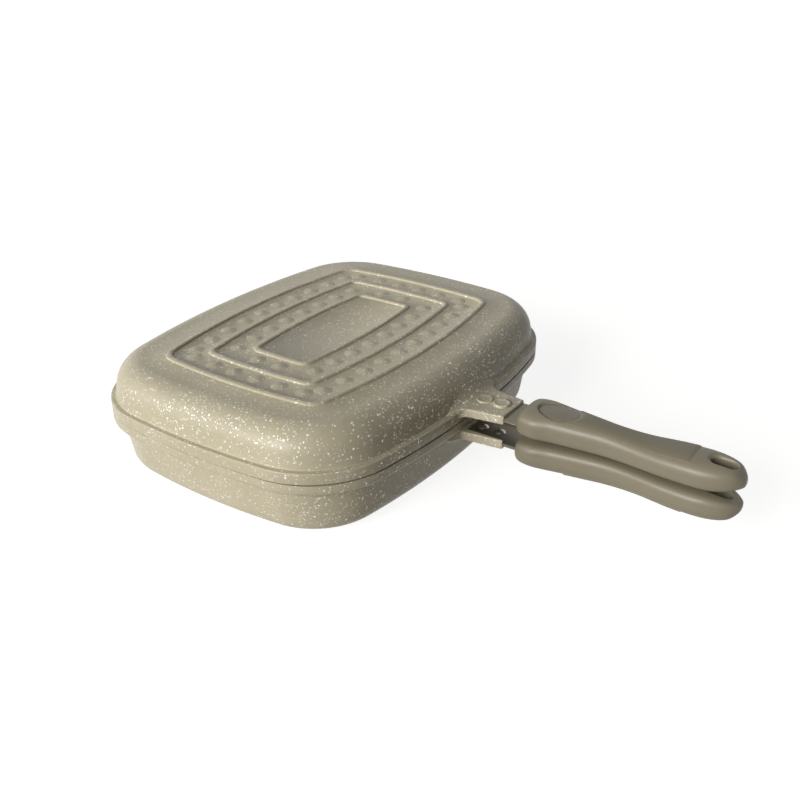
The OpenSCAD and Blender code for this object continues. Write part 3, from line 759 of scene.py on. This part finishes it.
# %% Material: pan_coating
def new_material(name):
    material = bpy.data.materials.new(name)
    material.use_nodes = True
    tree = material.node_tree
    shader = tree.nodes["Principled BSDF"]
    where = tree.nodes.new("ShaderNodeTexCoord").outputs["Object"]
    return material, Wires(tree), shader, where


def use_group(w, group, sources):
    return w.node("ShaderNodeGroup", sources, node_tree=group).outputs


def bumped(w, height, strength, distance):
    return w.node("ShaderNodeBump", {"Height": height, "Strength": strength,
                                     "Distance": distance}).outputs[0]


COATING, COATING_DEEP, FLECK = (0.545, 0.488, 0.344), (0.435, 0.387, 0.266), (0.80, 0.78, 0.71)
GROUND_ROUGH, GRAIN_ROUGH = 0.34, 0.14  # roughness of the ground, and what the grain adds
FLECK_SHINE, FLECK_ROUGHER = 0.50, 0.22  # the flecks are mica: they mirror a little, dully
FLECKS = ((200.0, 0.138), (315.0, 0.195), (560.0, 0.30))  # cells in a metre, radius in cells
TINY_SHARE = 0.7  # how much of the tiny flecks shows
CROWD_SCALE, CROWD_GAIN, CROWD_LESS = 30.0, 2.2, 0.50
CROWD_SHIFT = (-0.03, 0.01, 0.035)  # moves the places where the flecks crowd together


def coating_material():
    material, w, shader, where = new_material("pan_coating")
    crowd = w.noise(w.vector("ADD", {0: where, 1: CROWD_SHIFT}), CROWD_SCALE)
    share = w.math("MULTIPLY_ADD", crowd, CROWD_GAIN, -CROWD_LESS)
    masks = [use_group(w, speckles, {"Vector": where, "Cells per metre": cells,
                                     "Spot radius": radius, "Share kept": share})["Mask"]
             for cells, radius in FLECKS]
    tiny = w.math("MULTIPLY", masks[2], TINY_SHARE)
    mask = w.math("MAXIMUM", w.math("MAXIMUM", masks[0], masks[1]), tiny)
    grain = use_group(w, fine_grain, {"Vector": where, "Scale": 2200.0, "Coarse share": 1.4})
    cloud = w.math("MULTIPLY_ADD", grain["Value"], 0.7,
                   w.math("MULTIPLY_ADD", w.noise(where, 26.0, 3.0), 0.9, -0.3))
    ground = w.mix(cloud, (*COATING_DEEP, 1), (*COATING, 1))
    rough = w.math("MULTIPLY_ADD", grain["Value"], GRAIN_ROUGH, GROUND_ROUGH)
    height = w.math("ADD", grain["Height"], w.math("MULTIPLY", mask, 1.2))
    w.feed(shader, {"Base Color": w.mix(mask, ground, (*FLECK, 1)),
                    "Roughness": w.math("MULTIPLY_ADD", mask, FLECK_ROUGHER, rough),
                    "Metallic": w.math("MULTIPLY", mask, FLECK_SHINE),
                    "Specular IOR Level": 0.42, "Normal": bumped(w, height, 0.35, 0.00006)})
    return material


coating = coating_material()
print(coating.name, "has", len(coating.node_tree.nodes), "nodes")

# %% [markdown]
# ## Plastics, rubber and metals
# The grips are moulded heat-proof plastic, close to the pan's colour but darker and without
# flecks. The panel along each grip is softer and more matt. Steel, brass and the nickel of the
# magnets share one recipe with brushed lines, and the gasket is matt black silicone. The tangs'
# steel gets a colour far darker than steel's: painted shade, for the shade they lie in between
# bracket and grip.

# %% Materials: moulded and metal
def toned(w, shader, colour, dark, rough, spread, value):
    """Colour and roughness that go up and down with a pattern's value."""
    deep = tuple(c * dark for c in colour)
    w.feed(shader, {"Base Color": w.mix(value, (*deep, 1), (*colour, 1)),
                    "Roughness": w.math("MULTIPLY_ADD", value, spread, rough - spread / 2)})


def moulded_material(name, colour, rough, scale, strength):
    material, w, shader, where = new_material(name)
    grain = use_group(w, fine_grain, {"Vector": where, "Scale": scale, "Coarse share": 0.6})
    toned(w, shader, colour, 0.9, rough, 0.12, grain["Value"])
    w.feed(shader, {"Normal": bumped(w, grain["Height"], strength, 0.00005)})
    return material


def metal_material(name, colour, rough):
    material, w, shader, where = new_material(name)
    lines = use_group(w, brushed_lines, {"Vector": where, "Lines per metre": 2500.0})
    toned(w, shader, colour, 0.82, rough, 0.16, lines["Value"])
    w.feed(shader, {"Metallic": 1.0, "Normal": bumped(w, lines["Height"], 0.25, 0.00003)})
    return material


looks = {
    "pan_coating": coating,
    "grip": moulded_material("grip_plastic", (0.218, 0.190, 0.128), 0.42, 1300.0, 0.25),
    "inlay": moulded_material("soft_panel", (0.200, 0.174, 0.116), 0.52, 1700.0, 0.35),
    "badge": moulded_material("oval_plaque", (0.180, 0.157, 0.104), 0.36, 1500.0, 0.15),
    "gasket": moulded_material("silicone", (0.022, 0.022, 0.021), 0.62, 900.0, 0.30),
    "steel": metal_material("brushed_steel", (0.50, 0.48, 0.43), 0.34),
    # painted shade: the tangs' steel is far darker than bare steel, to stand for the shade between bracket and
    # grip
    "tang": metal_material("shade_darkened_steel", (0.19, 0.172, 0.135), 0.46),
    "brass": metal_material("brass", (0.72, 0.53, 0.25), 0.36),
    "magnet": metal_material("nickel", (0.62, 0.60, 0.56), 0.28),
}
print("materials:", sorted(looks))

# %% [markdown]
# ## Putting the pans together
# The bumps are placed by the node tree on each pan. Shell, bracket, bosses, knuckles and bumps
# together stand for the one casting of each pan, so each replaces the same solid. What belongs to
# the upper half rides on that body and turns with it.

# %% Bumps on both pans, and the pans' pieces on their bodies
def dress(obj, slot, half, node):
    """Gives a piece its finish, makes it ride on its half, and lets it stand for a solid."""
    obj.data.materials.clear()
    obj.data.materials.append(looks[slot])
    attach(obj, half + "_half")
    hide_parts(half + node)


def base_bumps(pan, tree):
    obj = placed_mesh("_bumps", pan, bump_spots(pan["depth"] - BUMP_SUNK), [])
    obj.modifiers.new("bumps", "NODES").node_group = tree
    return apply_modifiers(obj)


tree = bump_tree(looks["pan_coating"])
for i, pan in enumerate(PANS):
    group = [shells[i], brackets[i], base_bumps(pan, tree)] + bosses[i] + knuckles[i]
    for piece in group:
        dress(piece, "pan_coating", pan["half"], "_pan")
    print(pan["half"], "pan:", [piece.name for piece in group])

# %% [markdown]
# ## The grips
# A grip is a moulded shape that swells at the front, narrows in the middle for the fingers and
# swells again before the tip. It is lofted through sections along X: each section is a rounded
# arch with a nearly flat inner face. The stations are shares of the grip's length, width and
# height, joined by a smooth curve. The inner face rounds away from the other grip at both ends.

# %% Grip stations and sections
GRIP_FRONT, GRIP_LEN, GRIP_W, GRIP_H = RIM_X / 2 + 40.0, 152.5, 37.6, 22.0
GRIP_LOW = 1.2  # half of the gap between the two grips
STATIONS = ((0, .82, .80), (.015, .93, .905), (.04, .985, .96), (.09, 1, .99), (.16, .87, 1),
            (.22, .80, .975), (.29, .73, .95), (.36, .66, .925), (.42, .63, .895),
            (.5, .66, .86), (.58, .735, .845), (.65, .81, .865), (.73, .86, .90),
            (.82, .875, .915), (.88, .81, .91), (.93, .685, .87), (.965, .52, .79),
            (.99, .30, .62), (1, .13, .50))
ARCH_POWER, EDGE_POWER = 2.7, 4.0  # 2 is an ellipse, higher is squarer
BETWEEN = 5  # sections from one station to the next
TIP_LEN, TIP_LIFT, FRONT_LEN, FRONT_LIFT = 26.0, 5.2, 16.0, 2.4


def smooth_value(a, b, c, d, t):
    """A value on the smooth curve through four others, at t between b and c."""
    return (b + t * (c - a) / 2 + t * t * (a - 2.5 * b + 2 * c - d / 2)
            + t ** 3 * (1.5 * (b - c) + (d - a) / 2))


def section_at(k):
    """[x, half width, height] at a step along the grip, which may be between two steps."""
    last = len(STATIONS) - 1
    i, t = int(k // BETWEEN), (k / BETWEEN) % 1
    near = [STATIONS[max(0, min(last, i + j))] for j in (-1, 0, 1, 2)]
    x, w, h = (smooth_value(*(n[c] for n in near), t) for c in range(3))
    return GRIP_FRONT + x * GRIP_LEN, w * GRIP_W / 2, h * GRIP_H


def inner_level(x):
    tip = max(0.0, 1 - (GRIP_FRONT + GRIP_LEN - x) / TIP_LEN)
    front = max(0.0, 1 - (x - GRIP_FRONT) / FRONT_LEN)
    return GRIP_LOW + TIP_LIFT * tip ** 2.2 + FRONT_LIFT * front ** 2


def section_point(s, angle, inset=0.0):
    """Point at an angle from +Y over the top to 180, and below the side for negative angles."""
    low = inner_level(s[0])
    half = (s[2] - low) / 2
    c, n = math.cos(math.radians(angle)), math.sin(math.radians(angle))
    power = 2 / (ARCH_POWER if n >= 0 else EDGE_POWER)
    y = (s[1] - inset) * math.copysign(abs(c) ** power, c)
    z = low + half + math.copysign(abs(n) ** power, n) * (half - inset)
    return s[0], y, z


STEPS = (len(STATIONS) - 1) * BETWEEN
print("sections along a grip:", STEPS + 1)

# %% [markdown]
# Each section becomes a ring of points: over the top, down both sides, and across the inner face.

# %% Rings of a grip
SIDE_ANGLES, TOP_ANGLES = list(range(-72, 0, 12)), list(range(0, 181, 5))


def grip_ring(k):
    s = section_at(k)
    over = [section_point(s, a) for a in SIDE_ANGLES + TOP_ANGLES]
    under = [section_point(s, 180 - a) for a in reversed(SIDE_ANGLES)]
    flat = [(s[0], f * s[1], inner_level(s[0])) for f in (-0.45, 0.0, 0.45)]
    return over + under + flat


print("points in a ring:", len(grip_ring(0)))

# %% [markdown]
# Near the grip's front an oval dish is sunk into the crown for the plaque, deepest at the front.
# It follows the crown, so the height of the crown is found first.

# %% The dish of the plaque
BADGE_LEN, BADGE_W = 30.0, 23.0
BADGE_X = GRIP_FRONT + 9.5 + BADGE_LEN / 2
DISH = ((-5, -2.2), (-2, -2.2), (-0.3, -2.1), (0.1, -1.3), (0.6, -0.1), (0.8, 0.5))


def size_at(x, samples=200):
    """The grip's half width and height at x."""
    xs, widths, heights = zip(*(section_at(k) for k in np.linspace(0, STEPS, samples)))
    return float(np.interp(x, xs, widths)), float(np.interp(x, xs, heights))


def crown_height(x, y):
    w, h = size_at(x)
    half = (h - inner_level(x)) / 2
    return h - half + half * (1 - min(abs(y) / w, 0.999) ** ARCH_POWER) ** (1 / ARCH_POWER)


def oval(grow):
    return [((BADGE_LEN / 2 + grow) * math.cos(t), (BADGE_W / 2 + grow) * math.sin(t))
            for t in np.linspace(0, 2 * math.pi, 56, endpoint=False)]


def dish_point(x, y, lift):
    """The lift from the crown is full at the dish's front and half of that at its back."""
    share = 1.0 - 0.5 * (x / BADGE_LEN + 0.5)
    return BADGE_X + x, y, crown_height(BADGE_X + x, y) + lift * share


def dish_cutter():
    """Rings of growth and lift from the dish's floor up to its edge, and a lid far above."""
    rings = [[dish_point(x, y, lift) for x, y in oval(grow)] for grow, lift in DISH]
    rings += [[(BADGE_X + x, y, GRIP_H + 4) for x, y in oval(grow)]
              for grow in (DISH[-1][0], DISH[0][0])]
    return new_mesh("dish", *skin(rings))


print("the crown over the dish is at", round(crown_height(BADGE_X, 0), 2), "mm")

# %% [markdown]
# The hanging hole goes right through near the tip. Its cutter is a stadium that flares at the
# top. Hole and dish are cut before the voxel remesh, which rounds their edges together with a
# light smoothing. The seat of the steel bar and the recesses of screw and magnet come after it
# and stay crisp.

# %% Cutters of the grip
HOLE_LEN, HOLE_W, HOLE_BACK = 17.0, 10.0, 6.2
HOLE_X = GRIP_FRONT + GRIP_LEN - HOLE_BACK - HOLE_LEN / 2
TANG_END = GRIP_FRONT + 58.0
COVER_T = 0.8  # thin cover over the magnet
RECESSES = ((TANG_END - 10, 4.3, TANG_LOW), (TANG_END + 21, 6.15, GRIP_LOW + COVER_T))
SEAT_LEN, SEAT_PLAY = 8.2, 0.15


def stadium(grow, z):
    r, reach = HOLE_W / 2 + grow, (HOLE_LEN - HOLE_W) / 2
    half = bow((HOLE_X + reach, 0), r, -90, 90, 14)
    return [(x, y, z) for x, y in half] + [(2 * HOLE_X - x, -y, z) for x, y in half]


def hole_cutter():
    top = size_at(HOLE_X, 400)[1]
    levels = ((1.6, -1), (1.6, GRIP_LOW + 0.5), (0, GRIP_LOW + 2.6), (0, top - 2.6),
              (0.2, top - 1.7), (0.9, top - 0.7), (2.2, top), (2.4, top + 2))
    return new_mesh("hole", *skin([stadium(grow, z) for grow, z in levels]))


def recess_cutter(x, r, deep):
    low = GRIP_LOW - 2
    points, faces = turned([(0, low), (r, low), (r, deep), (0, deep)], 48)
    return new_mesh("recess", points + [x, 0, 0], faces)


print("the hanging hole is at x =", HOLE_X)

# %% Both grips
GRIP_VOXEL, GRIP_ROUNDS = 0.62, 3


def grip_points():
    body = new_mesh("body", *skin([grip_ring(k) for k in range(STEPS + 1)][::-1]))
    boolean(body, hole_cutter())
    boolean(body, dish_cutter())
    grip = melted([body], GRIP_VOXEL, GRIP_ROUNDS)
    seat = block("seat", GRIP_FRONT - 1, GRIP_FRONT + SEAT_LEN, TANG_W / 2 + SEAT_PLAY,
                 TANG_LOW - SEAT_PLAY, TANG_LOW + TANG_T + SEAT_PLAY)
    boolean(grip, seat)
    for place in RECESSES:
        boolean(grip, recess_cutter(*place))
    return taken(grip)


def add_pair(name, slot, points, faces, crisp=40):
    """A piece of the upper grip and its mirror image, for the solids named after the slot."""
    for pan in PANS:
        shape = placed(points, faces, pan["side"], GRIP_LINE)
        piece = new_mesh(pan["half"] + name, *shape, crisp=crisp)
        dress(piece, slot, pan["half"], "_" + slot)
        print(piece.name, len(faces), "faces")


add_pair("_handle", "grip", *grip_points(), crisp=50)

# %% [markdown]
# ## The soft panel and the plaque
# The panel follows the grip's crown from the plaque to the hanging hole. It stands half a
# millimetre proud, and all its edges are round, so it catches a thin line of light. Its front
# end is hollow, to go round the plaque. The plaque is a plain oval in the dish, with a low
# rounded rim.

# %% Panel and plaque
PANEL_START, PANEL_END = BADGE_X + BADGE_LEN / 2 + 1.0, GRIP_FRONT + 119.5
PANEL_HOLLOW = 7.0  # how far its front corners reach past the middle
PANEL_ANGLE = 47.0  # how far down the side its edge lies, from the side up
PANEL_PROUD, PANEL_SUNK = 0.65, 0.12  # from its edge to its top; its edge lies in the grip
PANEL_DEEP = 1.2  # its hidden side lies this far inside the grip
END_ROUND, SIDE_ROUND = 0.012, 0.06  # shares of its length and half width that round over
PLAQUE = ((0.02, -3.2), (1.0, -3.2), (1.0, -1.75), (0.97, -1.5), (0.90, -1.42), (0.78, -1.46),
          (0.72, -1.58), (0.45, -1.62), (0.02, -1.62))  # shares of its size, and lifts


def panel_rings():
    """Rows of points over the crown, each closed by a lower row inside the grip."""
    rings = []
    ks = np.linspace(0, STEPS, 900)
    xs = np.array([section_at(k)[0] for k in ks])
    for t in np.linspace(0, 1, 46):
        upper, lower = [], []
        for u in np.linspace(-1, 1, 33):
            start = PANEL_START - PANEL_HOLLOW * u * u
            s = section_at(float(np.interp(start + (PANEL_END - start) * t, xs, ks)))
            edge = min(1.0, (1 - abs(u)) / SIDE_ROUND, min(t, 1 - t) / END_ROUND)
            lift = PANEL_PROUD * math.sqrt(max(0.0, edge * (2 - edge))) - PANEL_SUNK
            upper.append(section_point(s, 90 - u * (90 - PANEL_ANGLE), -lift))
            lower.append(section_point(s, 90 - u * (89 - PANEL_ANGLE), PANEL_DEEP))
        rings.append(upper + lower[::-1])
    return rings


def plaque_rings():
    return [[dish_point(x * share, y * share, lift) for x, y in oval(-0.5)]
            for share, lift in PLAQUE]


add_pair("_panel", "inlay", *skin(panel_rings()))
add_pair("_plaque", "badge", *skin(plaque_rings()))

# %% [markdown]
# ## The pieces that stay
# Tangs, screws, pin, clip, washers, inserts, magnets and gasket are right as solids. They keep
# their meshes and get the finishes above in place of the plain colours.

# %% Finishes on the solids that stay
slots = {entry["node"]: entry["material_slot"] for entry in frame["record"]["subparts"]}
for node, obj in frame["nodes"].items():
    obj.data.materials.clear()
    # the tangs get the steel darkened with painted shade
    obj.data.materials.append(looks["tang" if node.endswith("_tang") else slots[node]])
print("finishes given to", len(slots), "solids")

# %% [markdown]
# ## Floor, light and camera
# The set is a pale floor under two far lamps, each as wide as a softbox. The key comes from the
# camera's left, low enough to leave the tops darker than the near walls, and a wider, weaker lamp
# from further round lights the left side. Cameras see the world and the lit floor as white, and
# only the soft shadow stays on the floor.

# %% Set: floor and world
FLOOR_SIZE, FLOOR_LOW = 6000.0, 0.4  # half its side, and how far it lies under the pan
FLOOR_COLOUR, FLOOR_GLOW, WORLD_LIGHT = (0.38, 0.37, 0.34), 0.88, 0.035
WHITE = (1, 1, 1, 1)


def seen_directly(w):
    """1 for the camera, and for what metal and glass show, and 0 for the light on the part."""
    path = w.node("ShaderNodeLightPath").outputs
    mirrored = w.math("MAXIMUM", path["Is Glossy Ray"], path["Is Transmission Ray"])
    return w.math("MAXIMUM", path["Is Camera Ray"], mirrored)


def set_floor():
    floor = new_mesh("floor", [(x * FLOOR_SIZE, y * FLOOR_SIZE, -FLOOR_LOW) for x, y in
                               ((-1, -1), (1, -1), (1, 1), (-1, 1))], [(0, 1, 2, 3)])
    material = bpy.data.materials.new("pale_floor")
    material.use_nodes = True
    w = Wires(material.node_tree)
    glow = w.math("MULTIPLY", seen_directly(w), FLOOR_GLOW)
    w.feed(w.tree.nodes["Principled BSDF"],
           {"Base Color": (*FLOOR_COLOUR, 1), "Roughness": 0.9, "Specular IOR Level": 0.0,
            "Emission Color": WHITE, "Emission Strength": glow})
    floor.data.materials.append(material)


def set_world():
    world = bpy.data.worlds.new("studio")
    bpy.context.scene.world = world
    world.use_nodes = True
    w = Wires(world.node_tree)
    strength = w.math("MAXIMUM", seen_directly(w), WORLD_LIGHT)
    w.feed(w.tree.nodes["Background"], {"Strength": strength, "Color": WHITE})


set_floor()
set_world()
print("world:", bpy.context.scene.world.name)

# %% Lamps
def direction(azimuth, elevation):
    """From the object towards a place. Azimuth 0 is in front, at -Y, and 90 is at +X."""
    a, e = math.radians(azimuth), math.radians(elevation)
    return Vector((math.sin(a) * math.cos(e), -math.cos(a) * math.cos(e), math.sin(e)))


def turn_to(obj, way):
    """Turns a lamp or camera so that it looks against the given way."""
    obj.rotation_mode = "QUATERNION"
    obj.rotation_quaternion = (-way).to_track_quat("-Z", "Y")


def soft_sun(name, azimuth, elevation, strength, angle):
    """A far lamp that is as wide as a big softbox: angle is how wide it looks, in degrees."""
    lamp = bpy.data.lights.new(name, "SUN")
    lamp.energy, lamp.angle = strength, math.radians(angle)
    turn_to(new_object(name, lamp), direction(azimuth, elevation))


soft_sun("key", -9, 20, 2.88, 30)
soft_sun("side", -52, 22, 1.0, 44)

# %% [markdown]
# The camera stands where the photograph was taken: it was found by fitting the ribs and the rim.
# It looks from the handle side and the front, about 27 degrees above the horizon.

# %% Camera
CAMERA_WAY = direction(34.08, 27.39)  # from the pan towards the camera
DISTANCE, LENS, TARGET = 795.8, 44.0955, (33.08, 39.58, SPLIT - 35.4)
data = bpy.data.cameras.new("camera")
data.lens, data.sensor_width = LENS, 36.0
data.clip_start, data.clip_end = 0.01, 50.0
camera = new_object("camera", data)
camera.location = (Vector(TARGET) + CAMERA_WAY * DISTANCE) * MM
turn_to(camera, CAMERA_WAY)
scene = bpy.context.scene
scene.camera = camera
scene.view_settings.view_transform = "Standard"
print("camera at", [round(c, 3) for c in camera.location])

# %% [markdown]
